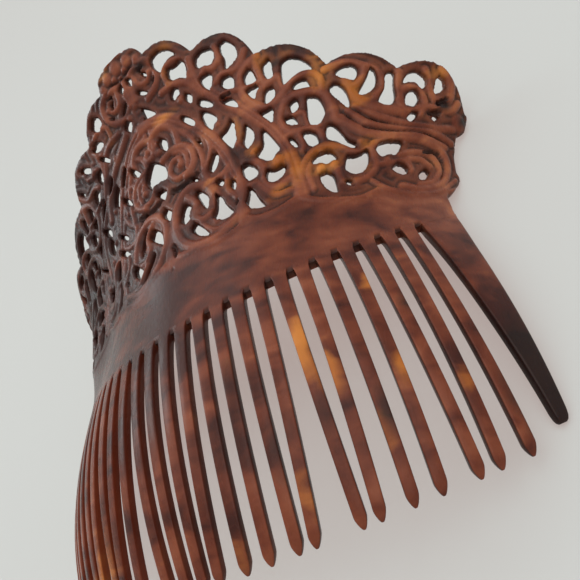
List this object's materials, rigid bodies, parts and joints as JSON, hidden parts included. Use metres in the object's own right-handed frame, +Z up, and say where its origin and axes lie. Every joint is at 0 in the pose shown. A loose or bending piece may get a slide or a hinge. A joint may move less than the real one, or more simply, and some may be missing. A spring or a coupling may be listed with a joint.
{
  "type": "mantilla comb",
  "caption": "Arched hair comb with a tall pierced scrollwork crest, a plain band and long bowed teeth, in mottled brown shell-like plastic.",
  "frame": {"origin": "centre of the comb's box where it lies, at the height of the surface it rests on", "axes": "+X across the comb, +Y from the teeth's tips to the crest, +Z up out of the arch"},
  "size_m": [0.1477, 0.1352, 0.0666],
  "materials": {
    "shell": "polished, mottled tortoiseshell brown with amber and near-black patches"
  },
  "bodies": {
    "root": {"crest": "shell", "band": "shell", "guard_tooth_right": "shell", "guard_tooth_left": "shell", "tooth_01": "shell", "tooth_02": "shell", "tooth_03": "shell", "tooth_04": "shell", "tooth_05": "shell", "tooth_06": "shell", "tooth_07": "shell", "tooth_08": "shell", "tooth_09": "shell", "tooth_10": "shell", "tooth_11": "shell", "tooth_12": "shell", "tooth_13": "shell", "tooth_14": "shell", "tooth_15": "shell", "tooth_16": "shell", "tooth_17": "shell", "tooth_18": "shell", "tooth_19": "shell", "tooth_20": "shell", "tooth_21": "shell", "tooth_22": "shell", "tooth_23": "shell", "tooth_24": "shell", "tooth_25": "shell"}
  },
  "joints": []
}
